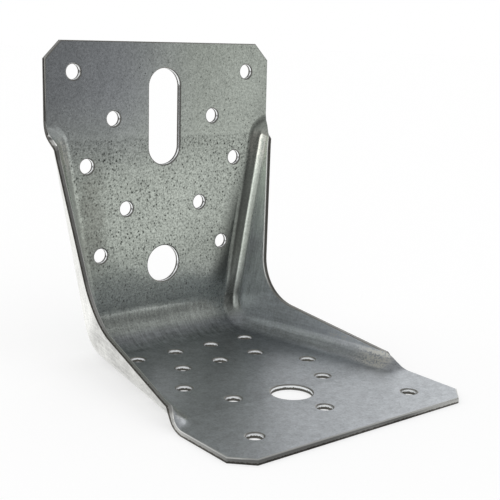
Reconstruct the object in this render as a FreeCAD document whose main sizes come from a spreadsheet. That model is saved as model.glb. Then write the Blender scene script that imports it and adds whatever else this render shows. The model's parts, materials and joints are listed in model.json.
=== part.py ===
import FreeCAD, Part
import Sketcher
import math
import os

# Pressed sheet-steel angle bracket: an upright leg and a base leg at right angles, with
# a gusset pressed up along each side that runs round the inside of the heel.
# Frame: X across the legs, the upright at the back (+Y), the base reaching forwards (-Y),
# Z up from the underside of the base. Millimetres and degrees.

# Driving dimensions: name, value, what it measures.
SIZES = (
    ("width", 90.0, "across both legs"),
    ("height", 105.0, "upright leg, from the underside to its top edge"),
    ("depth", 105.8, "base leg, from the back face to its front edge"),
    ("thickness", 1.75, "sheet"),
    ("corner_cut", 5.8, "slanted cut at each free corner of the legs"),
    ("heel_radius", 12.0, "inside radius of the bend between the legs"),
    ("gusset_spread", 61.3, "between the gussets' outer faces, where the legs' outer faces would meet"),
    ("gusset_slant", 10.2, "angle of a gusset's root against the leg's side edge"),
    ("gusset_radius", 6.0, "inside radius at the root of a gusset"),
    ("runout_start", 73.0, "along each leg, from the heel to where a gusset turns outwards"),
    ("runout_angle", 85.0, "angle of the gusset's last stretch against the leg's side edge"),
    ("runout_radius", 3.0, "round of a gusset's outer face where it turns outwards, at the leg"),
    ("rim_reach", 17.8, "gusset's straight rim from the back face, drawn down to the underside"),
    ("rim_slant", 9.6, "angle of a gusset's straight rim against the leg"),
    ("rim_radius", 19.0, "round of the gusset's rim at the heel"),
    ("nail_hole", 5.0, "diameter of each nail hole"),
    ("bolt_hole", 13.0, "diameter of each bolt hole"),
    ("slot_width", 12.5, "slot in the upright, across"),
    ("slot_length", 33.0, "slot in the upright, end to end"),
    ("slot_drop", 25.2, "middle of the slot below the top edge of the upright"),
    ("upright_bolt_height", 28.0, "bolt hole in the upright above the underside"),
    ("upright_row_height", 33.5, "lowest row of nail holes in the upright above the underside"),
    ("upright_row_pitch", 15.4, "between the four lower rows of nail holes in the upright"),
    ("upright_top_drop", 9.9, "top row of nail holes below the top edge of the upright"),
    ("upright_pair_a", 50.6, "between the two nail holes of the lowest row"),
    ("upright_pair_b", 30.4, "between the two nail holes of the second row"),
    ("upright_pair_c", 60.7, "between the two nail holes of the third row"),
    ("upright_pair_d", 40.4, "between the two nail holes of the fourth row"),
    ("upright_pair_e", 70.0, "between the two nail holes of the top row"),
    ("base_bolt_inset", 32.6, "bolt hole in the base from its front edge"),
    ("base_row_reach", 21.0, "rearmost row of nail holes in the base from the back face"),
    ("base_row_pitch", 15.5, "between the four rearmost rows of the base"),
    ("base_hole_pitch", 15.0, "between neighbouring nail holes of the two rearmost rows"),
    ("base_pair_c", 50.4, "between the two nail holes of the third row"),
    ("base_pair_d", 36.1, "between the two nail holes of the fourth row"),
    ("base_middle_inset", 17.6, "single nail hole of the base from its front edge"),
    ("base_front_inset", 12.4, "front pair of nail holes of the base from its front edge"),
    ("base_front_pair", 60.9, "between the front pair of nail holes"),
    ("form_margin", 20.0, "how far the pressing form runs past the sheet's edges"),
)

# Each leg, the plane of its outer face, and the sign of its levels there.
LEGS = (("upright", "XZ_Plane", ""), ("base", "XY_Plane", "-"))

doc = FreeCAD.newDocument("angle_bracket")

sheet = doc.addObject("Spreadsheet::Sheet", "Sizes")
for row, (name, value, note) in enumerate(SIZES, start=1):
    sheet.set(f"A{row}", name)
    sheet.set(f"B{row}", str(value))
    sheet.setAlias(f"B{row}", name)
    sheet.set(f"C{row}", note)
doc.recompute()

# Formulas that several features share. A level is a distance from the heel along a leg.
HALF_WIDTH = "Sizes.width / 2"
FORM_SIDE = f"({HALF_WIDTH} + Sizes.form_margin)"
FORM_END = "(Sizes.height + Sizes.depth)"
HEEL_HALF = "Sizes.gusset_spread / 2"
HEEL_OUTSIDE = "Sizes.heel_radius + Sizes.thickness"
ROOT_OUTSIDE = "Sizes.gusset_radius + Sizes.thickness"
ROOT_SLOPE = "tan(Sizes.gusset_slant * 1 deg)"
ROOT_SIN = "sin(Sizes.gusset_slant * 1 deg)"
ROOT_COS = "cos(Sizes.gusset_slant * 1 deg)"
RIM_SLOPE = "tan(Sizes.rim_slant * 1 deg)"
RIM_CORNER = f"(Sizes.rim_reach / (1 + {RIM_SLOPE}))"
JOINT_LEVEL = f"(Sizes.runout_start - 2 * ({ROOT_OUTSIDE}))"
JOINT_REACH = f"(Sizes.rim_reach - {JOINT_LEVEL} * {RIM_SLOPE})"
JOINT_HALF = f"({HEEL_HALF} + ({JOINT_LEVEL} + {JOINT_REACH}) * {ROOT_SLOPE})"
RIM_END = f"({JOINT_LEVEL} + ({FORM_SIDE} - {JOINT_HALF}) / ({ROOT_SLOPE} * (1 - {RIM_SLOPE})))"
TURN_HALF = f"({HEEL_HALF} + Sizes.runout_start * {ROOT_SLOPE})"
TURN_END = f"(Sizes.runout_start + ({FORM_SIDE} - {TURN_HALF}) / tan(Sizes.runout_angle * 1 deg))"
TURN_TAN = "tan((Sizes.runout_angle - Sizes.gusset_slant) * 0.5 deg)"
AXIS_SIDE = f"({ROOT_COS} - {TURN_TAN} * {ROOT_SIN})"
AXIS_BACK = f"({ROOT_SIN} + {TURN_TAN} * {ROOT_COS})"
AXIS_HALF = f"({TURN_HALF} + Sizes.runout_radius * {AXIS_SIDE})"
AXIS_LEVEL = f"(Sizes.runout_start - Sizes.runout_radius * {AXIS_BACK})"
TURN_SIN = "sin(Sizes.runout_angle * 1 deg)"
TURN_COS = "cos(Sizes.runout_angle * 1 deg)"
CORNER_REACH = "2 * Sizes.runout_radius"
CORNER_TIP = "4 * Sizes.runout_radius"


def new_sketch(body, name, role):
    plane = next(item for item in body.Origin.OriginFeatures if item.Role == role)
    sketch = body.newObject("Sketcher::SketchObject", name)
    sketch.AttachmentSupport = [(plane, "")]
    sketch.MapMode = "FlatFace"
    return sketch


def hold(sketch, kind, targets, formula):
    """Add a dimension to the sketch and bind it to a formula."""
    index = sketch.addConstraint(Sketcher.Constraint(kind, *targets, sketch.evalExpression(formula)))
    sketch.setExpression(f"Constraints[{index}]", formula)


def draw_outline(sketch, corners):
    """Closed outline of straight lines, each corner given by two formulas."""
    first = sketch.GeometryCount
    spots = [FreeCAD.Vector(sketch.evalExpression(x), sketch.evalExpression(y), 0) for x, y in corners]
    for start, end in zip(spots, spots[1:] + spots[:1]):
        sketch.addGeometry(Part.LineSegment(start, end))
    for step, (x, y) in enumerate(corners):
        line = first + step
        following = first + (step + 1) % len(corners)
        sketch.addConstraint(Sketcher.Constraint("Coincident", line, 2, following, 1))
        hold(sketch, "DistanceX", (-1, 1, line, 1), x)
        hold(sketch, "DistanceY", (-1, 1, line, 1), y)


def draw_pair(sketch, spread, level, diameter):
    """Two circles, equally far either side of the middle line."""
    reach = sketch.evalExpression(spread) / 2
    height = sketch.evalExpression(level)
    radius = sketch.evalExpression(diameter) / 2
    right, left = (
        sketch.addGeometry(Part.Circle(FreeCAD.Vector(x, height, 0), FreeCAD.Vector(0, 0, 1), radius))
        for x in (reach, -reach)
    )
    hold(sketch, "DistanceX", (-1, 1, right, 3), f"{spread} / 2")
    hold(sketch, "DistanceY", (-1, 1, right, 3), level)
    hold(sketch, "Diameter", (right,), diameter)
    sketch.addConstraint(Sketcher.Constraint("Symmetric", right, 3, left, 3, -2))
    sketch.addConstraint(Sketcher.Constraint("Equal", right, left))


def mirrored(half):
    return [(f"-({x})", y) for x, y in reversed(half)]


def add_feature(body, kind, name, sketch=None, **formulas):
    feature = body.newObject(kind, name)
    if sketch:
        feature.Profile = sketch
    for target, formula in formulas.items():
        feature.setExpression(target, formula)
    return feature


def cut_through(body, name, sketch):
    cut = add_feature(body, "PartDesign::Pocket", name, sketch)
    cut.Type = "ThroughAll"
    cut.Midplane = True
    doc.recompute()


def dress_edges(body, kind, name, test, **formulas):
    """Round or cut those edges of the body so far that pass the test."""
    base = body.Tip
    chosen = [f"Edge{number}" for number, edge in enumerate(base.Shape.Edges, start=1) if test(edge)]
    feature = add_feature(body, kind, name, **formulas)
    feature.Base = (base, chosen)
    doc.recompute()


def near(value, other):
    return math.isclose(value, other, abs_tol=1e-4)


def ends(edge):
    return [vertex.Point for vertex in edge.Vertexes]


def lies_on(edge, axis, level):
    return all(near(getattr(point, axis), level) for point in ends(edge))


def is_heel(edge):
    return lies_on(edge, "y", 0) and lies_on(edge, "z", 0)


def is_root(edge):
    """Straight root of a gusset on the upright: the rest of the root follows on smoothly."""
    if not lies_on(edge, "y", 0) or edge.Curve.TypeId != "Part::GeomLine":
        return False
    low, high = sorted(ends(edge), key=lambda point: point.z)
    slope = math.tan(math.radians(sheet.gusset_slant))
    return high.z > low.z and near(abs(high.x - low.x), slope * (high.z - low.z))


def is_leg_corner(edge):
    """Free corner of a leg: on a side, either at the front or at the top."""
    on_side = any(lies_on(edge, "x", half * sheet.width / 2) for half in (1, -1))
    return on_side and lies_on(edge, "y", -sheet.depth) != lies_on(edge, "z", sheet.height)


def is_rim_corner(edge):
    return all(near(point.y, -point.z) and point.z > 0 for point in ends(edge))


# The form that the sheet is pressed over: its rear and under faces are the legs' outer
# faces, and its side walls are the gussets' outer faces. The walls are drawn forwards and
# down at 45 degrees, so that each is one plane along both legs.
form = doc.addObject("PartDesign::Body", "form")
wall_front = new_sketch(form, "wall_front", "XZ_Plane")
wall_half = [(HEEL_HALF, "0"), (f"{HEEL_HALF} + 2 * {FORM_END} * {ROOT_SLOPE}", f"2 * {FORM_END}")]
draw_outline(wall_front, wall_half + mirrored(wall_half))
walls = add_feature(form, "PartDesign::Pad", "walls", wall_front, Length=FORM_END)
walls.UseCustomVector = True
walls.AlongSketchNormal = True
walls.Direction = FreeCAD.Vector(0, -1, -1)

# At each run-out the wall turns outwards round a cone whose axis is square to the leg.
# The turned wall leans as the straight one does, so both meet at the cone's tip.
for leg, role, sense in LEGS:
    along, out = ("z", "y") if leg == "upright" else ("y", "z")
    outwards = "-1" if leg == "upright" else "1"
    for hand, side in (("right", ""), ("left", "-")):
        flare_view = new_sketch(form, f"{leg}_{hand}_flare_view", role)
        draw_outline(flare_view, [(f"{side}({x})", f"{sense}({level})") for x, level in (
            (f"{HEEL_HALF} + {JOINT_LEVEL} * {ROOT_SLOPE}", JOINT_LEVEL),
            (TURN_HALF, "Sizes.runout_start"),
            (FORM_SIDE, TURN_END),
            (FORM_SIDE, FORM_END),
            ("0", FORM_END),
            ("0", JOINT_LEVEL),
        )])
        flare = add_feature(form, "PartDesign::Pad", f"{leg}_{hand}_flare", flare_view, Length=JOINT_REACH)
        flare.UseCustomVector = True
        flare.AlongSketchNormal = True
        flare.setExpression("Direction.x", f"{side}{ROOT_SIN} * {AXIS_SIDE}")
        flare.setExpression(f"Direction.{along}", f"-({sense}{ROOT_SIN} * {AXIS_BACK})")
        flare.setExpression(f"Direction.{out}", outwards)

        corner_view = new_sketch(form, f"{leg}_{hand}_corner_view", role)
        draw_outline(corner_view, [(f"{side}({x})", f"{sense}({level})") for x, level in (
            (AXIS_HALF, AXIS_LEVEL),
            (f"{AXIS_HALF} - {CORNER_REACH} * {ROOT_COS}", f"{AXIS_LEVEL} + {CORNER_REACH} * {ROOT_SIN}"),
            (f"{AXIS_HALF} - {CORNER_TIP} * {AXIS_SIDE}", f"{AXIS_LEVEL} + {CORNER_TIP} * {AXIS_BACK}"),
            (f"{AXIS_HALF} - {CORNER_REACH} * {TURN_COS}", f"{AXIS_LEVEL} + {CORNER_REACH} * {TURN_SIN}"),
        )])
        add_feature(form, "PartDesign::Pad", f"{leg}_{hand}_corner", corner_view, Length=JOINT_REACH)

        turn = add_feature(
            form, "PartDesign::SubtractiveCone", f"{leg}_{hand}_turn",
            Radius1=f"Sizes.runout_radius + Sizes.thickness * {ROOT_SIN}",
            Radius2=f"Sizes.runout_radius - {JOINT_REACH} * {ROOT_SIN}",
            Height=f"Sizes.thickness + {JOINT_REACH}",
        )
        turn.setExpression("Placement.Base.x", f"{side}{AXIS_HALF}")
        turn.setExpression(f"Placement.Base.{along}", f"{sense}{AXIS_LEVEL}")
        turn.setExpression(f"Placement.Base.{out}", f"-({outwards}) * Sizes.thickness")
        if leg == "upright":
            turn.setExpression("Placement.Rotation.Axis.x", "1")
            turn.setExpression("Placement.Rotation.Axis.z", "0")
            turn.setExpression("Placement.Rotation.Angle", "90 deg")
        doc.recompute()

under_side = new_sketch(form, "under_side", "YZ_Plane")
draw_outline(under_side, [
    ("0", "0"),
    (f"-2 * {FORM_END}", "0"),
    (f"-2 * {FORM_END}", f"-2 * {FORM_END}"),
    ("0", f"-2 * {FORM_END}"),
])
cut_through(form, "level_under_side", under_side)
dress_edges(form, "PartDesign::Fillet", "round_heel", is_heel, Radius=HEEL_OUTSIDE)
dress_edges(form, "PartDesign::Fillet", "round_roots", is_root, Radius=ROOT_OUTSIDE)

# The sheet's outline, as a block that holds what stays: the legs with their cut corners,
# less what lies beyond the gussets' rims. At the heel the rim is cut from the side. From
# each rim joint on, the same straight rim is cut from the front, or from above, so that
# it runs out into the leg's side edge.
outline = doc.addObject("PartDesign::Body", "outline")
leg_front = new_sketch(outline, "leg_front", "XZ_Plane")
leg_half = [(HALF_WIDTH, "-Sizes.form_margin"), (HALF_WIDTH, "Sizes.height")]
draw_outline(leg_front, leg_half + mirrored(leg_half))
legs = add_feature(
    outline, "PartDesign::Pad", "legs", leg_front,
    Length="Sizes.depth", Length2="Sizes.form_margin",
)
legs.SideType = "Two sides"
doc.recompute()
dress_edges(outline, "PartDesign::Chamfer", "cut_corners", is_leg_corner, Size="Sizes.corner_cut")

rim_side = new_sketch(outline, "rim_side", "YZ_Plane")
draw_outline(rim_side, [
    (f"-{RIM_CORNER}", RIM_CORNER),
    (f"-{JOINT_REACH}", JOINT_LEVEL),
    (f"-{JOINT_LEVEL}", JOINT_LEVEL),
    (f"-{JOINT_LEVEL}", JOINT_REACH),
])
cut_through(outline, "cut_rim", rim_side)
dress_edges(outline, "PartDesign::Fillet", "round_rim", is_rim_corner, Radius="Sizes.rim_radius")

for leg, role, sense in LEGS:
    rim_view = new_sketch(outline, f"{leg}_rim", role)
    rim_half = [
        (JOINT_HALF, f"{sense}{JOINT_LEVEL}"),
        (FORM_SIDE, f"{sense}{RIM_END}"),
        (FORM_SIDE, f"{sense}{JOINT_LEVEL}"),
    ]
    draw_outline(rim_view, rim_half)
    draw_outline(rim_view, mirrored(rim_half))
    cut_through(outline, f"cut_{leg}_rim", rim_view)

# The outer skin of the sheet is what the outline keeps of the form's faces. The sheet
# itself is that skin thickened inwards, so that its cut edges stand square to it.
skin = doc.addObject("Part::Feature", "skin")
skin.Shape = form.Shape.Shells[0].common(outline.Shape).Shells[0]
pressed = doc.addObject("Part::Offset", "pressed_sheet")
pressed.Source = skin
pressed.Fill = True
pressed.setExpression("Value", "-Sizes.thickness")
doc.recompute()


def punch_middle(sketch, level, diameter):
    """One round hole on the middle line."""
    centre = FreeCAD.Vector(0, sketch.evalExpression(level), 0)
    radius = sketch.evalExpression(diameter) / 2
    hole = sketch.addGeometry(Part.Circle(centre, FreeCAD.Vector(0, 0, 1), radius))
    sketch.addConstraint(Sketcher.Constraint("PointOnObject", hole, 3, -2))
    hold(sketch, "DistanceY", (-1, 1, hole, 3), level)
    hold(sketch, "Diameter", (hole,), diameter)


def punch_slot(sketch, level, width, length):
    """Slot with round ends along the middle line."""
    radius = sketch.evalExpression(width) / 2
    top = sketch.evalExpression(f"{level} + ({length} - {width}) / 2")
    foot = sketch.evalExpression(f"{level} - ({length} - {width}) / 2")
    forwards = FreeCAD.Vector(0, 0, 1)
    upper, left, lower, right = sketch.addGeometry([
        Part.ArcOfCircle(Part.Circle(FreeCAD.Vector(0, top, 0), forwards, radius), 0, math.pi),
        Part.LineSegment(FreeCAD.Vector(-radius, top, 0), FreeCAD.Vector(-radius, foot, 0)),
        Part.ArcOfCircle(Part.Circle(FreeCAD.Vector(0, foot, 0), forwards, radius), math.pi, 2 * math.pi),
        Part.LineSegment(FreeCAD.Vector(radius, foot, 0), FreeCAD.Vector(radius, top, 0)),
    ])
    for first, second in ((upper, left), (left, lower), (lower, right), (right, upper)):
        sketch.addConstraint(Sketcher.Constraint("Tangent", first, 2, second, 1))
    sketch.addConstraint(Sketcher.Constraint("Equal", upper, lower))
    sketch.addConstraint(Sketcher.Constraint("PointOnObject", upper, 3, -2))
    sketch.addConstraint(Sketcher.Constraint("PointOnObject", lower, 3, -2))
    hold(sketch, "DistanceY", (-1, 1, upper, 3), f"{level} + ({length} - {width}) / 2")
    hold(sketch, "DistanceY", (-1, 1, lower, 3), f"{level} - ({length} - {width}) / 2")
    hold(sketch, "Radius", (upper,), f"{width} / 2")


def punch_leg(body, name, sketch):
    """Cut the sketch's holes through the leg whose outer face it lies on."""
    punched = add_feature(body, "PartDesign::Pocket", name, sketch, Length="4 * Sizes.thickness")
    punched.Midplane = True


# The bracket: the pressed sheet with its punched holes, standing centred on its base.
bracket = doc.addObject("PartDesign::Body", "bracket")
bracket.BaseFeature = pressed
bracket.setExpression("Placement.Base.y", "Sizes.depth / 2")

upright = new_sketch(bracket, "upright_holes", "XZ_Plane")
for step, pair in enumerate("abcd"):
    row = f"Sizes.upright_row_height + {step} * Sizes.upright_row_pitch"
    draw_pair(upright, f"Sizes.upright_pair_{pair}", row, "Sizes.nail_hole")
top_row = "Sizes.height - Sizes.upright_top_drop"
draw_pair(upright, "Sizes.upright_pair_e", top_row, "Sizes.nail_hole")
punch_middle(upright, "Sizes.upright_bolt_height", "Sizes.bolt_hole")
slot_middle = "Sizes.height - Sizes.slot_drop"
punch_slot(upright, slot_middle, "Sizes.slot_width", "Sizes.slot_length")
punch_leg(bracket, "punch_upright", upright)

base = new_sketch(bracket, "base_holes", "XY_Plane")
rows = [f"-(Sizes.base_row_reach + {step} * Sizes.base_row_pitch)" for step in range(4)]
draw_pair(base, "Sizes.base_hole_pitch", rows[0], "Sizes.nail_hole")
draw_pair(base, "3 * Sizes.base_hole_pitch", rows[0], "Sizes.nail_hole")
draw_pair(base, "2 * Sizes.base_hole_pitch", rows[1], "Sizes.nail_hole")
punch_middle(base, rows[1], "Sizes.nail_hole")
draw_pair(base, "Sizes.base_pair_c", rows[2], "Sizes.nail_hole")
draw_pair(base, "Sizes.base_pair_d", rows[3], "Sizes.nail_hole")
punch_middle(base, "Sizes.base_bolt_inset - Sizes.depth", "Sizes.bolt_hole")
punch_middle(base, "Sizes.base_middle_inset - Sizes.depth", "Sizes.nail_hole")
front_row = "Sizes.base_front_inset - Sizes.depth"
draw_pair(base, "Sizes.base_front_pair", front_row, "Sizes.nail_hole")
punch_leg(bracket, "punch_base", base)
doc.recompute()

for item in doc.Objects:
    if "Invalid" in item.State or "Error" in item.State:
        raise RuntimeError(f"{item.Label} failed: {item.State}")
solid = bracket.Shape
if solid.isNull() or not solid.isValid() or len(solid.Solids) != 1:
    raise RuntimeError("the bracket is not one valid solid")
os.makedirs("parts", exist_ok=True)
solid.exportStep(f"parts/{bracket.Label}.step")
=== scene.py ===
import json
import math

import bmesh
import bpy
from mathutils import Euler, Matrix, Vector
from mathutils.kdtree import KDTree


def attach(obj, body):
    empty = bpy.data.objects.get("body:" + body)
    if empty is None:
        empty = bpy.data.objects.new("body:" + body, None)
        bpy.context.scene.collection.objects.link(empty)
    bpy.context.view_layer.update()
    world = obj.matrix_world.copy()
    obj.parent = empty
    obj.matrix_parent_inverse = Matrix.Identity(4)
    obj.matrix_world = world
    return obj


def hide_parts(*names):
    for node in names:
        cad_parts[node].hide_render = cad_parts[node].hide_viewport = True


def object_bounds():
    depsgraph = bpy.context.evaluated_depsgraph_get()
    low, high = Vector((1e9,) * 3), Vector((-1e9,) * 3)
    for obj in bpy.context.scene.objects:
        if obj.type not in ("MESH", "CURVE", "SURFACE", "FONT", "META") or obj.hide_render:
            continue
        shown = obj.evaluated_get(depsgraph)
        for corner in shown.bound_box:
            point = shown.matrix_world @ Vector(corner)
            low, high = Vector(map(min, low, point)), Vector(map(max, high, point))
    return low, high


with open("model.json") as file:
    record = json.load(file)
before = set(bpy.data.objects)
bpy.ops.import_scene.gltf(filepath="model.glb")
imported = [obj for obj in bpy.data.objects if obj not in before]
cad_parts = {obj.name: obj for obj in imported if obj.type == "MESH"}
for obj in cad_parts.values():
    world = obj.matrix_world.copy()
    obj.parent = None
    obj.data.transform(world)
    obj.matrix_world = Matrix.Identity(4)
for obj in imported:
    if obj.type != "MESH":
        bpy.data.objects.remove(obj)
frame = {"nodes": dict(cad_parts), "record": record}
CAD_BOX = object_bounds()

bl_info = {
    "name": "Angle bracket",
    "version": (1, 0, 0),
    "blender": (4, 5, 0),
    "location": "View3D > Sidebar > Bracket",
    "description": "Dresses a pressed sheet-steel angle bracket and sets it on a pale studio floor",
    "category": "Object",
}

NODE = "bracket"
MOUNTS = {mount["name"]: mount for mount in frame["record"]["mounts"]}
MM = 0.001
WHITE = (1, 1, 1, 1)
# The back face of the upright and the thickness of the sheet, in millimetres.
BACK = CAD_BOX[1][1] / MM
SHEET = MOUNTS["base_bolt"]["dims"]["length_mm"]

# Half the width of a leg's flat at the heel, in millimetres, and how it widens along the leg.
ROOT_INSET = 23.9
ROOT_SLOPE = math.tan(math.radians(10.2))

# The sides that a face of the sheet can belong to.
SHEARED, OUTER, INNER = range(3)

# What the metal mirrors at each bearing, in degrees from straight behind and positive to the
# right: a white backdrop behind, soft screens left and right and a dim room at the front. The
# levels differ low down, above the screens' lower edges and on the table near the bracket.
ROOM_LOW = (
    (-180, 0.15), (-150, 0.12), (-136, 0.12), (-131, 0.90), (-126, 0.75), (-117, 0.42),
    (-103, 0.12), (-85, 0.15), (-45, 0.15), (-20, 0.18), (-8, 0.9), (0, 1.0), (60, 0.9),
    (80, 0.40), (100, 0.35), (129, 0.28), (134, 0.50), (138, 0.76), (142, 0.57), (147, 0.31),
    (154, 0.15), (168, 0.12), (180, 0.15),
)
ROOM_HIGH = (
    (-180, 0.30), (-150, 0.13), (-136, 0.13), (-131, 1.5), (-126, 1.5), (-117, 0.95),
    (-103, 0.72), (-85, 0.6), (-60, 0.7), (-30, 1.0), (20, 1.0), (37, 0.72), (43, 0.60),
    (47, 0.88), (51, 1.45), (56, 1.3), (60, 0.9), (76, 0.45), (125, 0.40), (134, 0.55),
    (143, 0.23), (160, 0.15), (180, 0.30),
)
TABLE = (
    (-180, 0.17), (-138, 0.17), (-130, 0.5), (-110, 0.7), (-70, 1.2), (-20, 1.2), (60, 0.9),
    (88, 0.34), (112, 0.36), (126, 0.47), (133, 0.64), (139, 0.77), (144, 0.75), (149, 0.63),
    (154, 0.50), (162, 0.2), (180, 0.17),
)
OVERHEAD = 0.33
# How steeply a mirrored direction looks up, 1 being straight up, where screens and ceiling set in.
SCREENS_FROM = (0.0, 0.19)
CEILING_FROM = (0.45, 0.65)
# Squared distances on the floor, in square metres, where the mirrored table and room set in.
TABLE_FROM = (0.0024, 0.0031)
ROOM_FROM = (0.10, 0.45)

FLOOR_HALF = 6.0
FLOOR_DROP = 0.02 * MM
# The white that the eye sees of the floor, and its share beside the paper that takes the shadow.
FLOOR_WHITE = 1.1
FLOOR_GLOW = 0.5


class Field:
    """A node's output that takes part in Python sums; each sum adds a Math node."""

    def __init__(self, shader, socket):
        self.shader = shader
        self.socket = socket

    def maths(self, operation, first, second):
        return self.shader.node("ShaderNodeMath", {"operation": operation}, {0: first, 1: second})

    def __add__(self, other):
        return self.maths("ADD", self, other)

    def __radd__(self, other):
        return self.maths("ADD", other, self)

    def __sub__(self, other):
        return self.maths("SUBTRACT", self, other)

    def __rsub__(self, other):
        return self.maths("SUBTRACT", other, self)

    def __mul__(self, other):
        return self.maths("MULTIPLY", self, other)

    def __rmul__(self, other):
        return self.maths("MULTIPLY", other, self)

    def __truediv__(self, other):
        return self.maths("DIVIDE", self, other)

    def larger(self, other):
        return self.maths("MAXIMUM", self, other)

    def smaller(self, other):
        return self.maths("MINIMUM", self, other)

    def bearing(self, other):
        """Angle of the direction (self, other) from the second axis, in radians."""
        return self.maths("ARCTAN2", self, other)


class Shader:
    """The node tree of one material or world."""

    def __init__(self, owner):
        owner.use_nodes = True
        self.tree = owner.node_tree
        self.tree.nodes.clear()

    def node(self, kind, settings=None, sockets=None, output=0):
        """Add a node: its settings first, then the values or links of its sockets."""
        made = self.tree.nodes.new(kind)
        for name, value in (settings or {}).items():
            if name == "stops":
                self.set_stops(made.color_ramp, value)
            else:
                setattr(made, name, value)
        for key, value in (sockets or {}).items():
            target = self.find(made.inputs, key)
            if isinstance(value, Field):
                self.tree.links.new(value.socket, target)
            else:
                target.default_value = value
        return Field(self, self.find(made.outputs, output)) if made.outputs else None

    @staticmethod
    def find(sockets, key):
        """A socket by its place, its identifier or its name."""
        if isinstance(key, int):
            return sockets[key]
        return next((s for s in sockets if s.identifier == key), None) or sockets[key]

    @staticmethod
    def set_stops(ramp, stops):
        while len(ramp.elements) < len(stops):
            ramp.elements.new(1.0)
        for element, (place, level) in zip(ramp.elements, stops):
            element.position = place
            element.color = (level, level, level, 1)

    def steps(self, value, low, high):
        """0 below low, 1 above high, smooth between."""
        return self.node(
            "ShaderNodeMapRange", {"interpolation_type": "SMOOTHSTEP"},
            {"Value": value, "From Min": low, "From Max": high},
        )

    def drops(self, value, low, high):
        """1 below low, 0 above high, smooth between."""
        return 1 - self.steps(value, low, high)

    def blend(self, factor, first, second):
        """Mix of two colours."""
        return self.node(
            "ShaderNodeMix", {"data_type": "RGBA"},
            {"Factor_Float": factor, "A_Color": first, "B_Color": second}, "Result_Color",
        )

    def noise(self, vector, scale, detail, roughness=0.5):
        return self.node(
            "ShaderNodeTexNoise", None,
            {"Vector": vector, "Scale": scale, "Detail": detail, "Roughness": roughness},
        )

    def cells(self, vector, scale):
        """Distance from the middle of the nearest of many scattered cells."""
        return self.node(
            "ShaderNodeTexVoronoi", None, {"Vector": vector, "Scale": scale}, "Distance",
        )

    def stretched(self, vector, x, y, z):
        return self.node(
            "ShaderNodeVectorMath", {"operation": "MULTIPLY"}, {0: vector, 1: (x, y, z)},
        )

    def axes(self, vector):
        return [
            self.node("ShaderNodeSeparateXYZ", None, {"Vector": vector}, axis) for axis in "XYZ"
        ]

    def vector(self, x, y, z):
        return self.node("ShaderNodeCombineXYZ", None, {"X": x, "Y": y, "Z": z})

    def shaded(self, colour, factor):
        """A colour times a number that varies."""
        return self.node(
            "ShaderNodeVectorMath", {"operation": "SCALE"}, {0: colour, "Scale": factor},
        )

    def coordinates(self, kind):
        return self.node("ShaderNodeTexCoord", None, None, kind)

    def attribute(self, name):
        return self.node("ShaderNodeAttribute", {"attribute_name": name}, None, "Fac")

    def oval(self, x, y, middle_x, middle_y, half_x, half_y):
        """1 in the middle of an oval, 0 at its rim and less outside."""
        across = (x - middle_x) / half_x
        along = (y - middle_y) / half_y
        return 1 - (across * across + along * along)

    def light_path(self, kind):
        return self.node("ShaderNodeLightPath", None, None, f"Is {kind} Ray")

    def round_about(self, x, y, levels):
        """Level at the bearing of the direction (x, y), from stops in degrees."""
        turn = x.bearing(y) / (2 * math.pi) + 0.5
        stops = [(bearing / 360 + 0.5, level) for bearing, level in levels]
        return self.node("ShaderNodeValToRGB", {"stops": stops}, {"Fac": turn})


def opaque(colour):
    """A colour of the settings as a node's socket takes it."""
    return (*colour, 1)


class SheetSettings(bpy.types.PropertyGroup):
    """Sizes and finish of the dressed sheet."""

    lip_width: bpy.props.FloatProperty(
        name="Lip width",
        description="How far the sheared edges are rolled over, along the inner face",
        default=0.45 * MM, unit="LENGTH", precision=5,
    )
    hole_lip_width: bpy.props.FloatProperty(
        name="Hole lip width",
        description="How far the punched holes are rolled over, along the inner face",
        default=0.50 * MM, unit="LENGTH", precision=5,
    )
    lip_depth: bpy.props.FloatProperty(
        name="Lip depth", description="How far the rolled edges reach into the sheet",
        default=0.40 * MM, unit="LENGTH", precision=5,
    )
    upright_zinc: bpy.props.FloatVectorProperty(
        name="Upright zinc", description="Colour of the zinc coating on the upright",
        default=(0.635, 0.685, 0.62), size=3, subtype="COLOR", min=0, max=1,
    )
    base_zinc: bpy.props.FloatVectorProperty(
        name="Base zinc", description="Colour of the zinc coating on the base and high on the upright",
        default=(0.578, 0.606, 0.634), size=3, subtype="COLOR", min=0, max=1,
    )
    flange_zinc: bpy.props.FloatVectorProperty(
        name="Flange zinc", description="Colour of the zinc coating outside on the gussets",
        default=(0.645, 0.645, 0.615), size=3, subtype="COLOR", min=0, max=1,
    )
    smudge: bpy.props.FloatVectorProperty(
        name="Smudge", description="Colour of the smudge on the left of the upright",
        default=(0.28, 0.25, 0.20), size=3, subtype="COLOR", min=0, max=1,
    )
    scuff: bpy.props.FloatVectorProperty(
        name="Scuff", description="Colour of the scuffed run-outs",
        default=(0.88, 0.87, 0.79), size=3, subtype="COLOR", min=0, max=1,
    )
    zinc_roughness: bpy.props.FloatProperty(
        name="Zinc roughness", description="Roughness of the zinc coating", default=0.21,
        subtype="FACTOR", min=0, max=1,
    )


class StageSettings(bpy.types.PropertyGroup):
    """Floor and camera."""

    floor: bpy.props.FloatVectorProperty(
        name="Floor", description="Colour of the floor", default=(0.95, 0.95, 0.95),
        size=3, subtype="COLOR", min=0, max=1,
    )
    eye: bpy.props.FloatVectorProperty(
        name="Eye", description="Place of the camera", default=(-0.18903, -0.23499, 0.10780),
        size=3, subtype="TRANSLATION", unit="LENGTH",
    )
    turn: bpy.props.FloatVectorProperty(
        name="Turn", description="Turn of the camera",
        default=tuple(math.radians(angle) for angle in (77.75, -1.554, -38.235)),
        size=3, subtype="EULER", unit="ROTATION",
    )
    lens: bpy.props.FloatProperty(
        name="Lens", description="Focal length in millimetres", default=71.0, unit="CAMERA",
    )


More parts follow.
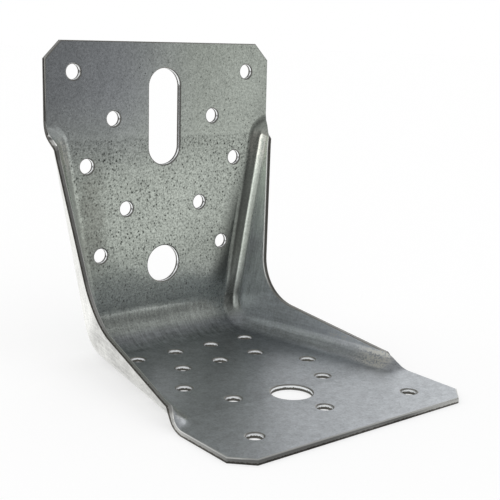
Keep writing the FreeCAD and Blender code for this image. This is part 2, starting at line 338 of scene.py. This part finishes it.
class ZincFinish:
    """The sheet's material: zinc coating, marks of the press and of handling, cut edges, and painted
    light and shade.

    Places are in millimetres, along a leg from the heel and across from its outer face. Depth is
    0 on the sheet's outer side and 1 on its inner side. Rise is 0 where the sheet lies in a leg
    and nears 1 where it stands up as a gusset.
    """

    # Two ovals on the upright: sideways and upwards, first the middle and then the half axes.
    SCRATCH = (-3.3, 51.0, 0.32, 3.6)
    SMUDGE = (-29.0, 42.0, 6.5, 25.0)
    # The depths between which the sheared wall, its torn band and the rolled lip begin or end.
    WALL_START = (0.005, 0.02)
    TORN_END = (0.28, 0.38)
    LIP_START = (0.78, 0.84)
    LIP_END = (0.985, 0.998)
    # The lip's bright colour is partly wear and partly a painted highlight.
    LIP_BRIGHT = (0.86, 0.87, 0.84, 1)
    LIP_DULL = (0.40, 0.395, 0.37, 1)
    RIM_BRIGHT = (0.57, 0.57, 0.55, 1)
    RIM_DULL = (0.15, 0.145, 0.135, 1)
    RIM_TORN = (0.19, 0.18, 0.16, 1)
    HOLE_BRIGHT = (0.84, 0.86, 0.87, 1)
    HOLE_TORN = (0.15, 0.145, 0.13, 1)

    def __init__(self, settings):
        self.settings = settings
        self.material = bpy.data.materials.new("zinc_sheet")
        self.shader = Shader(self.material)
        self.find_places()
        self.find_areas()
        self.add_patterns()
        self.add_root_shade()
        self.add_flecks()
        self.add_smudge()
        self.find_bands()
        self.add_surface()

    def find_places(self):
        """Where a point lies on the sheet."""
        shader = self.shader
        self.mm = shader.stretched(shader.coordinates("Object"), 1 / MM, 1 / MM, 1 / MM)
        self.x, y, self.z = shader.axes(self.mm)
        reach = BACK - y
        self.along = self.z.larger(reach)
        self.across = self.z.smaller(reach)
        self.upright = shader.steps(self.z - reach, -4, 6)
        self.depth = shader.attribute("depth")
        self.rise = shader.attribute("rise")
        self.punched = shader.attribute("punched")

    def find_areas(self):
        """How far a point belongs to each area of the sheet."""
        shader, along = self.shader, self.along
        self.base = 1 - self.upright
        self.gusset = shader.steps(self.rise, 0.06, 0.30)
        self.flat = 1 - self.gusset
        self.outside = (1 - self.depth) * self.gusset
        self.heel = shader.drops(along, 11, 19)
        # The press held the sheet up to a straight line across each leg.
        self.pressed = shader.drops(along, 72.4, 73.2)
        # High on the left the flecks thin out and the coating turns bluish, as on the base.
        high_left = shader.steps(along, 55, 92) * shader.drops(self.x, -24, 18)
        self.cool = 1 - self.upright * (1 - high_left)
        # Towards the heel the gussets' walls inside are rougher and bluish, and darker in painted
        # shade.
        steep = shader.steps(self.rise, 0.84, 0.95)
        wall = self.gusset + self.upright * (steep - self.gusset)
        self.dull_and_shaded = shader.drops(along - 16 * self.upright, 14, 56) * wall * self.depth

    def add_patterns(self):
        """Irregular patterns: even ones, and ones drawn out along or across the legs."""
        shader = self.shader
        x, across, along = self.x, self.across, self.along
        self.cloud = shader.noise(self.mm, 0.06, 3.0)
        self.mottle = shader.noise(self.mm, 0.4, 3.0)
        self.pepper = shader.noise(self.mm, 1.5, 2.0, 0.6)
        self.drawn = shader.noise(shader.vector(x * 0.25, across * 1.4, along * 0.08), 1.0, 2.0)
        self.ribs = shader.noise(shader.vector(x * 1.6, across * 0.2, along * 0.2), 1.0, 1.0)
        self.bent = shader.noise(shader.vector(x * 0.10, across * 1.1, along * 0.5), 1.0, 3.0)

    def add_root_shade(self):
        """Painted shade on the upright: beside the right gusset's root, and in both roots at the heel.
        """
        shader, along = self.shader, self.along
        beside = ROOT_INSET + ROOT_SLOPE * along - self.x
        # The painted shade is wider towards the heel and fades upwards.
        root_shade = shader.drops(beside + 0.12 * along, 5, 12.5)
        root_shade = root_shade * (1 - 0.8 * shader.steps(along, 40, 76)) * shader.steps(along, 12, 24)
        root_shade = root_shade * shader.drops(self.rise, 0.25, 0.55)
        roots = shader.drops(along, 13, 25) * self.gusset * shader.drops(self.rise, 0.8, 0.92)
        self.root_shade = root_shade.larger(roots) * self.upright * self.depth

    def add_flecks(self):
        """Dark flecks and smaller specks, the most on the upright's flat."""
        shader = self.shader
        density = self.upright * self.flat * (1 - 0.6 * self.heel) * (0.55 + 0.45 * self.pressed)
        density = density * (1 - 0.5 * self.cool) * (1 - 0.6 * self.root_shade)
        self.density = density * (0.5 + 0.5 * self.depth)
        patch = 0.22 * (self.cloud - 0.5)
        to_fleck = shader.cells(shader.stretched(self.mm, 1, 1, 0.8), 0.75)
        to_speck = shader.cells(self.mm, 1.4)
        self.fleck = shader.steps(0.09 + 0.17 * self.density + patch - to_fleck, -0.03, 0.10)
        self.speck = shader.steps(0.15 + 0.21 * self.density + patch - to_speck, -0.06, 0.16)

    def add_smudge(self):
        """Brown smudge with a streaky rim, on the left of the upright."""
        shader = self.shader
        spot = shader.oval(self.x, self.z, *self.SMUDGE) + (self.bent - 0.5) * 2
        self.smudge = shader.steps(spot, -0.2, 1.2) * self.upright * self.depth

    def find_bands(self):
        """The bands of a cut edge: the sheared wall, its torn part and the rolled lip."""
        shader, depth = self.shader, self.depth
        self.lip = shader.steps(depth, *self.LIP_START) * shader.drops(depth, *self.LIP_END)
        self.sheared = shader.steps(depth, *self.WALL_START) * shader.drops(depth, *self.LIP_START)
        ragged = depth + (self.pepper - 0.5) * 0.4 - self.punched * 0.14
        self.torn = self.sheared * shader.drops(ragged, *self.TORN_END)

    def lightened(self):
        """How much lighter than plain zinc the colour is: grain and streaks of the coating, and
        painted light.
        """
        shader, along = self.shader, self.along
        grain = (self.pepper - 0.5) * (0.65 + 1.1 * self.density)
        grain = grain + (self.mottle - 0.5) * 0.5 * self.base
        streaks = (self.drawn - 0.5) * 0.6 * self.gusset
        streaks = streaks + (self.bent * 0.6 + self.ribs * 0.7 - 0.65) * self.heel * self.flat
        # Outside on the gussets: a mottled coating, and painted shade on the base's part.
        flange = (self.cloud - 0.5) * 0.8 + (self.bent - 0.5) * 0.4 - 0.22 * self.base
        # Painted light: the upright is a little lighter just above the heel, and the base's walls are
        # lighter towards their run-outs, a painted sheen.
        above = shader.steps(along, 12, 17) * shader.drops(along, 24, 34) * self.upright * self.flat
        shine = shader.steps(along, 22, 56) * shader.steps(self.rise, 0.90, 0.96)
        shine = shine * self.base * self.depth
        return grain + streaks + self.outside * flange + above * 0.15 + shine * 0.6

    def darkened(self):
        """How much darker than plain zinc the colour is: flecks and a scratch in the coating, and
        painted shade.
        """
        shader, along = self.shader, self.along
        flecks = self.fleck * 0.5 + self.speck * 0.35
        # Painted shade: a darker band on the heel's side of the press line.
        press_line_shade = self.pressed * shader.steps(along, 58, 73) * self.flat
        # Painted shade: the base darker towards the heel.
        shaded = shader.drops(along, 18, 66) * self.base * self.flat
        # Painted shade: the flat outer side darker.
        behind = (1 - self.depth) * self.flat
        areas = press_line_shade * 0.12 + shaded * 0.25 + behind * 0.2
        # Painted shade on the gussets' inner walls towards the heel.
        areas = areas + self.dull_and_shaded * (0.10 + 0.20 * self.upright)
        scratch = shader.steps(shader.oval(self.x, self.z, *self.SCRATCH), 0.1, 0.6)
        return flecks + areas + scratch * self.upright * self.depth * 0.45

    def scuffs(self):
        """The run-outs, where the sheet was drawn the most, are scuffed bright."""
        shader, along = self.shader, self.along
        area = shader.steps(along, 57, 69) * shader.drops(along, 72, 75) * self.gusset * self.depth
        return area * shader.steps(self.pepper + (self.drawn - 0.5) * 0.6, 0.34, 0.57)

    def coating(self):
        """Colour of the zinc with its smudge and scuffs, and the painted shade at the gussets' roots.
        """
        shader, settings = self.shader, self.settings
        bluish = self.cool.larger(self.dull_and_shaded).larger(0.3 * shader.drops(self.along, 17, 32))
        zinc = shader.blend(bluish, opaque(settings.upright_zinc), opaque(settings.base_zinc))
        zinc = shader.blend(self.outside, zinc, opaque(settings.flange_zinc))
        shade = (1 + self.lightened() - self.darkened()) * (1 - 0.57 * self.root_shade)
        zinc = shader.shaded(zinc, shade)
        zinc = shader.blend(self.smudge * 0.22, zinc, opaque(settings.smudge))
        return shader.blend(self.scuffs() * 0.8, zinc, opaque(settings.scuff))

    def edged(self, coating):
        """The coating's colour, with the lip and the two bands of the cut edges."""
        shader, punched = self.shader, self.punched
        # The blank's rim is dull on the upright's flat and on the right gusset. Its lip is dull there
        # too, and round the holes; elsewhere its bright colour is partly wear and partly a painted
        # highlight.
        rim = (self.upright * self.flat).larger(self.gusset * shader.steps(self.x, 10, 30))
        dull_lip = punched.larger(rim - self.gusset * self.upright)
        lip = shader.blend(dull_lip, self.LIP_BRIGHT, self.LIP_DULL)
        burnished = shader.blend(rim, self.RIM_BRIGHT, self.RIM_DULL)
        burnished = shader.blend(punched, burnished, self.HOLE_BRIGHT)
        broken = shader.blend(punched, self.RIM_TORN, self.HOLE_TORN)
        colour = shader.blend(self.lip, coating, lip)
        colour = shader.blend(self.sheared, colour, burnished)
        return shader.blend(self.torn, colour, broken)

    def roughness(self):
        plain = self.settings.zinc_roughness + self.base * 0.19 - self.gusset * 0.08
        plain = plain + (self.cloud - 0.5) * 0.1
        marks = self.dull_and_shaded * 0.2 + self.fleck * 0.12 + self.smudge * 0.1
        return plain + marks + self.torn * 0.3 - self.lip * 0.05

    def add_surface(self):
        """Metal with these colours, a fine grain and a slight waviness."""
        shader = self.shader
        swell = self.pepper * 0.006 + self.cloud * 0.15
        surface = shader.node("ShaderNodeBsdfPrincipled", None, {
            "Base Color": self.edged(self.coating()),
            "Metallic": 1.0,
            "Roughness": self.roughness(),
            "Normal": shader.node("ShaderNodeBump", None, {
                "Strength": 1.0, "Distance": MM, "Height": swell,
            }),
        })
        shader.node("ShaderNodeOutputMaterial", None, {"Surface": surface})


def grown(seed, beside):
    """Everything that hangs together with the seed."""
    found = {seed}
    waiting = [seed]
    while waiting:
        fresh = set(beside[waiting.pop()]) - found
        found |= fresh
        waiting.extend(fresh)
    return found


class SheetMesh:
    """The solid's mesh, sorted into the sheet's two sides and its sheared edges."""

    MERGE = 0.001 * MM
    SMOOTH = math.radians(12)
    LONGEST_HOLE = 40 * MM
    LIP_STEPS = 4
    # A lip that would turn a face over is scaled by this factor, in so many rounds at most.
    SHRINK = 0.6
    SHRINK_ROUNDS = 10
    # Normals that agree to so many decimals count once in a mean.
    NORMAL_DECIMALS = 2

    def __init__(self, solid):
        shape = bmesh.new()
        shape.from_mesh(solid)
        doubles = bmesh.ops.find_doubles(shape, verts=shape.verts, dist=self.MERGE)["targetmap"]
        merged = [doubles.get(vert, vert).index for vert in shape.verts]
        self.places = [vert.co.copy() for vert in shape.verts]
        shape.free()
        self.corners = [[merged[vert] for vert in polygon.vertices] for polygon in solid.polygons]
        self.normals = [
            [Vector(solid.corner_normals[corner].vector) for corner in polygon.loop_indices]
            for polygon in solid.polygons
        ]
        self.edges = {}
        self.around = {}
        for face, corners in enumerate(self.corners):
            for step, start in enumerate(corners):
                end = corners[(step + 1) % len(corners)]
                self.edges.setdefault(frozenset((start, end)), []).append((face, step))
                self.around.setdefault(start, []).append(face)
        self.sort_sides([polygon.area for polygon in solid.polygons])
        self.points = []
        self.depths = []
        self.rises = []
        self.punched = []
        self.faces = []
        self.face_normals = []

    def normal_at(self, face, vert):
        return self.normals[face][self.corners[face].index(vert)]

    def runs_on(self, edge):
        """Whether the two faces at an edge go over into each other smoothly."""
        (first, _), (second, _) = self.edges[edge]
        return all(
            self.normal_at(first, vert).angle(self.normal_at(second, vert)) < self.SMOOTH
            for vert in edge
        )

    def sort_sides(self, areas):
        """The two largest smooth stretches are the sheet's sides, the lower one its outer side."""
        beside = [[] for _ in self.corners]
        for edge, ((first, _), (second, _)) in self.edges.items():
            if self.runs_on(edge):
                beside[first].append(second)
                beside[second].append(first)
        stretches = []
        left = set(range(len(self.corners)))
        while left:
            stretch = grown(left.pop(), beside)
            left -= stretch
            stretches.append(stretch)
        stretches.sort(key=lambda stretch: sum(areas[face] for face in stretch))
        outer, inner = sorted(stretches[-2:], key=self.lowest)
        self.side = [SHEARED] * len(areas)
        for side, stretch in ((OUTER, outer), (INNER, inner)):
            for face in stretch:
                self.side[face] = side

    def lowest(self, stretch):
        return min(self.places[vert].z for face in stretch for vert in self.corners[face])

    def lip_edges(self, wanted):
        """Each edge between one side and a sheared face: its ends, in the side's order."""
        for pair in self.edges.values():
            sides = {self.side[face]: (face, step) for face, step in pair}
            if SHEARED in sides and wanted in sides:
                face, step = sides[wanted]
                corners = self.corners[face]
                yield corners[step], corners[(step + 1) % len(corners)]

    def mean_normal(self, vert, wanted):
        """Mean of the different normals that faces of one side have at a point."""
        normals = {}
        for face in self.around[vert]:
            if self.side[face] == wanted:
                normal = self.normal_at(face, vert)
                normals[tuple(round(part, self.NORMAL_DECIMALS) for part in normal)] = normal
        return sum(normals.values(), Vector()).normalized()

    def round_lips(self, settings):
        """A mesh whose sheared edges are rolled over on the inner side, where the tool struck."""
        edges = list(self.lip_edges(INNER))
        self.holes = self.hole_points(edges) | self.hole_points(self.lip_edges(OUTER))
        lips = self.shape_lips({vert for edge in edges for vert in edge}, settings)
        chains = {vert: self.add_chain(vert, lip) for vert, lip in lips.items()}
        depths = self.plain_depths(lips)
        plain = {}
        for face, corners in enumerate(self.corners):
            end = -1 if self.side[face] == SHEARED else 0
            spots = []
            for vert in corners:
                if vert in chains:
                    spots.append(chains[vert][end][0])
                else:
                    if vert not in plain:
                        rise = self.mean_normal(vert, self.side[face]).x
                        plain[vert] = self.add_point(vert, self.places[vert], depths[vert], rise)
                    spots.append(plain[vert])
            self.add_face(spots, self.normals[face])
        for start, end in edges:
            for step in range(self.LIP_STEPS):
                first, last = chains[start][step:step + 2], chains[end][step:step + 2]
                spots, normals = zip(last[0], first[0], first[1], last[1])
                self.add_face(spots, normals)
        return self.finished_mesh()

    def hole_points(self, edges):
        """Points of the closed edge lines that are short enough for a hole."""
        beside = {}
        for start, end in edges:
            beside.setdefault(start, []).append(end)
            beside.setdefault(end, []).append(start)
        holes = set()
        left = set(beside)
        while left:
            line = grown(left.pop(), beside)
            left -= line
            places = [self.places[vert] for vert in line]
            low, high = (Vector(limit(axis) for axis in zip(*places)) for limit in (min, max))
            if (high - low).length < self.LONGEST_HOLE:
                holes |= line
        return holes

    def shape_lips(self, verts, settings):
        """At each lip point: into the sheet along the face, down along the wall, and both normals."""
        lips = {}
        for vert in verts:
            width = settings.hole_lip_width if vert in self.holes else settings.lip_width
            face_normal = self.mean_normal(vert, INNER)
            wall_normal = self.mean_normal(vert, SHEARED)
            slant = wall_normal.dot(face_normal)
            inwards = (wall_normal - face_normal * slant).normalized() * -width
            down = (face_normal - wall_normal * slant).normalized() * -settings.lip_depth
            lips[vert] = (inwards, down, face_normal, wall_normal)
        for _ in range(self.SHRINK_ROUNDS):
            for vert in self.folded(lips):
                inwards, down, face_normal, wall_normal = lips[vert]
                lips[vert] = (inwards * self.SHRINK, down * self.SHRINK, face_normal, wall_normal)
        return lips

    def folded(self, lips):
        """Lip points of the faces that their lips would turn over."""
        found = set()
        for face, corners in enumerate(self.corners):
            moved = [vert for vert in corners if vert in lips]
            if moved:
                which = 1 if self.side[face] == SHEARED else 0
                places = [
                    self.places[vert] + lips[vert][which] if vert in lips else self.places[vert]
                    for vert in corners
                ]
                turn = (places[1] - places[0]).cross(places[2] - places[0])
                if turn.dot(sum(self.normals[face], Vector())) <= 0:
                    found.update(moved)
        return found

    def plain_depths(self, lips):
        """How deep each point lies in the sheet: 0 on the outer side, 1 on the inner side."""
        outer_line = {vert for edge in self.lip_edges(OUTER) for vert in edge}
        trees = []
        for line in (outer_line, lips):
            tree = KDTree(len(line))
            for vert in line:
                tree.insert(self.places[vert], vert)
            tree.balance()
            trees.append(tree)
        depths = {}
        for vert, faces in self.around.items():
            sides = {self.side[face] for face in faces}
            if sides == {SHEARED}:
                to_outer, to_inner = (tree.find(self.places[vert])[2] for tree in trees)
                depths[vert] = to_outer / (to_outer + to_inner)
            else:
                depths[vert] = 1.0 if INNER in sides else 0.0
        return depths

    def add_chain(self, vert, lip):
        """Points and normals of a quarter ellipse from the inner face to the sheared face."""
        inwards, down, face_normal, wall_normal = lip
        chain = []
        for step in range(self.LIP_STEPS + 1):
            turn = math.radians(90) * step / self.LIP_STEPS
            drop = down * (1 - math.cos(turn))
            place = self.places[vert] + inwards * (1 - math.sin(turn)) + drop
            normal = wall_normal * (math.sin(turn) * down.length)
            normal = normal + face_normal * (math.cos(turn) * inwards.length)
            spot = self.add_point(vert, place, 1 - drop.length / (SHEET * MM), face_normal.x)
            chain.append((spot, normal.normalized()))
        return chain

    def add_point(self, vert, place, depth, rise):
        """Add a point, held inside the solid's box, and what the finish needs to know of it."""
        self.points.append([min(max(part, low), high) for part, low, high in zip(place, *CAD_BOX)])
        self.depths.append(depth)
        self.rises.append(abs(rise))
        self.punched.append(float(vert in self.holes))
        return len(self.points) - 1

    def add_face(self, spots, normals):
        self.faces.append(spots)
        self.face_normals.extend(normals)

    def finished_mesh(self):
        mesh = bpy.data.meshes.new("pressed_sheet")
        mesh.from_pydata(self.points, [], self.faces)
        mesh.shade_smooth()
        mesh.normals_split_custom_set(self.face_normals)
        for name, values in (("depth", self.depths), ("rise", self.rises), ("punched", self.punched)):
            mesh.attributes.new(name, "FLOAT", "POINT").data.foreach_set("value", values)
        return mesh


class BRACKET_OT_sheet(bpy.types.Operator):
    """Make the dressed sheet from the solid's own mesh"""

    bl_idname = "bracket.sheet"
    bl_label = "Pressed sheet"

    def execute(self, context):
        settings = context.scene.bracket_sheet
        mesh = SheetMesh(frame["nodes"][NODE].data).round_lips(settings)
        mesh.materials.append(ZincFinish(settings).material)
        sheet = bpy.data.objects.new("pressed_sheet", mesh)
        context.collection.objects.link(sheet)
        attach(sheet, "root")
        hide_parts(NODE)
        return {"FINISHED"}


class BRACKET_OT_stage(bpy.types.Operator):
    """Set the floor, the light and the camera"""

    bl_idname = "bracket.stage"
    bl_label = "Stage"

    def execute(self, context):
        settings = context.scene.bracket_stage
        self.lay_floor(context, settings)
        self.light_room(context)
        self.place_camera(context, settings)
        context.scene.view_settings.view_transform = "Standard"
        return {"FINISHED"}

    def lay_floor(self, context, settings):
        """A wide flat floor just under the bracket."""
        half = FLOOR_HALF
        mesh = bpy.data.meshes.new("floor")
        mesh.from_pydata(
            [(-half, -half, 0), (half, -half, 0), (half, half, 0), (-half, half, 0)],
            [], [(0, 1, 2, 3)],
        )
        mesh.materials.append(self.pale_floor(settings))
        floor = bpy.data.objects.new("floor", mesh)
        floor.location.z = -FLOOR_DROP
        context.collection.objects.link(floor)

    def pale_floor(self, settings):
        """White with the object's shadow to the eye, and dimmer in front in the metal."""
        material = bpy.data.materials.new("pale_floor")
        shader = Shader(material)
        x, y, _ = shader.axes(shader.coordinates("Object"))
        far = x * x + y * y
        table = shader.round_about(x, y, TABLE)
        room = shader.round_about(x, y, ROOM_LOW)
        mirrored = shader.blend(shader.steps(far, *TABLE_FROM), WHITE, table)
        mirrored = shader.blend(shader.steps(far, *ROOM_FROM), mirrored, room)
        camera = shader.light_path("Camera")
        diffuse = shader.light_path("Diffuse")
        glow = shader.node("ShaderNodeEmission", None, {
            "Color": shader.blend(camera, mirrored, opaque([FLOOR_WHITE] * 3)),
        })
        paper = shader.node("ShaderNodeBsdfDiffuse", None, {"Color": opaque(settings.floor)})
        share = camera * FLOOR_GLOW + (1 - camera) * (1 - diffuse)
        surface = shader.node(
            "ShaderNodeMixShader", None, {"Fac": share, "Shader": paper, "Shader_001": glow},
        )
        shader.node("ShaderNodeOutputMaterial", None, {"Surface": surface})
        return material

    def light_room(self, context):
        """White to the eye and to the floor; the metal mirrors the room round about."""
        world = bpy.data.worlds.new("white_room")
        context.scene.world = world
        shader = Shader(world)
        x, y, height = shader.axes(shader.coordinates("Generated"))
        low = shader.round_about(x, y, ROOM_LOW)
        high = shader.round_about(x, y, ROOM_HIGH)
        room = shader.blend(shader.steps(height, *SCREENS_FROM), low, high)
        room = shader.blend(shader.steps(height, *CEILING_FROM), room, opaque([OVERHEAD] * 3))
        plain = shader.light_path("Camera").larger(shader.light_path("Diffuse"))
        light = shader.blend(plain, room, WHITE)
        background = shader.node("ShaderNodeBackground", None, {"Color": light, "Strength": 1.0})
        shader.node("ShaderNodeOutputWorld", None, {"Surface": background})

    def place_camera(self, context, settings):
        lens = bpy.data.cameras.new("camera")
        lens.lens = settings.lens
        lens.sensor_width = 36.0
        lens.clip_start = 0.01
        camera = bpy.data.objects.new("camera", lens)
        camera.location = settings.eye
        camera.rotation_euler = Euler(settings.turn, "XYZ")
        context.collection.objects.link(camera)
        context.scene.camera = camera


class BRACKET_PT_panel(bpy.types.Panel):
    """Lists the settings and the steps that make the bracket"""

    bl_idname = "BRACKET_PT_panel"
    bl_label = "Angle bracket"
    bl_space_type = "VIEW_3D"
    bl_region_type = "UI"
    bl_category = "Bracket"

    def draw(self, context):
        for group in (context.scene.bracket_sheet, context.scene.bracket_stage):
            for name in group.__annotations__:
                self.layout.prop(group, name)
        for operator in OPERATORS:
            self.layout.operator(operator.bl_idname)


OPERATORS = (BRACKET_OT_sheet, BRACKET_OT_stage)
CLASSES = (SheetSettings, StageSettings, *OPERATORS, BRACKET_PT_panel)


def register():
    for cls in CLASSES:
        bpy.utils.register_class(cls)
    bpy.types.Scene.bracket_sheet = bpy.props.PointerProperty(type=SheetSettings)
    bpy.types.Scene.bracket_stage = bpy.props.PointerProperty(type=StageSettings)


def unregister():
    del bpy.types.Scene.bracket_stage
    del bpy.types.Scene.bracket_sheet
    for cls in reversed(CLASSES):
        bpy.utils.unregister_class(cls)


def main():
    register()
    bpy.ops.bracket.sheet()
    bpy.ops.bracket.stage()


if __name__ == "__main__":
    main()
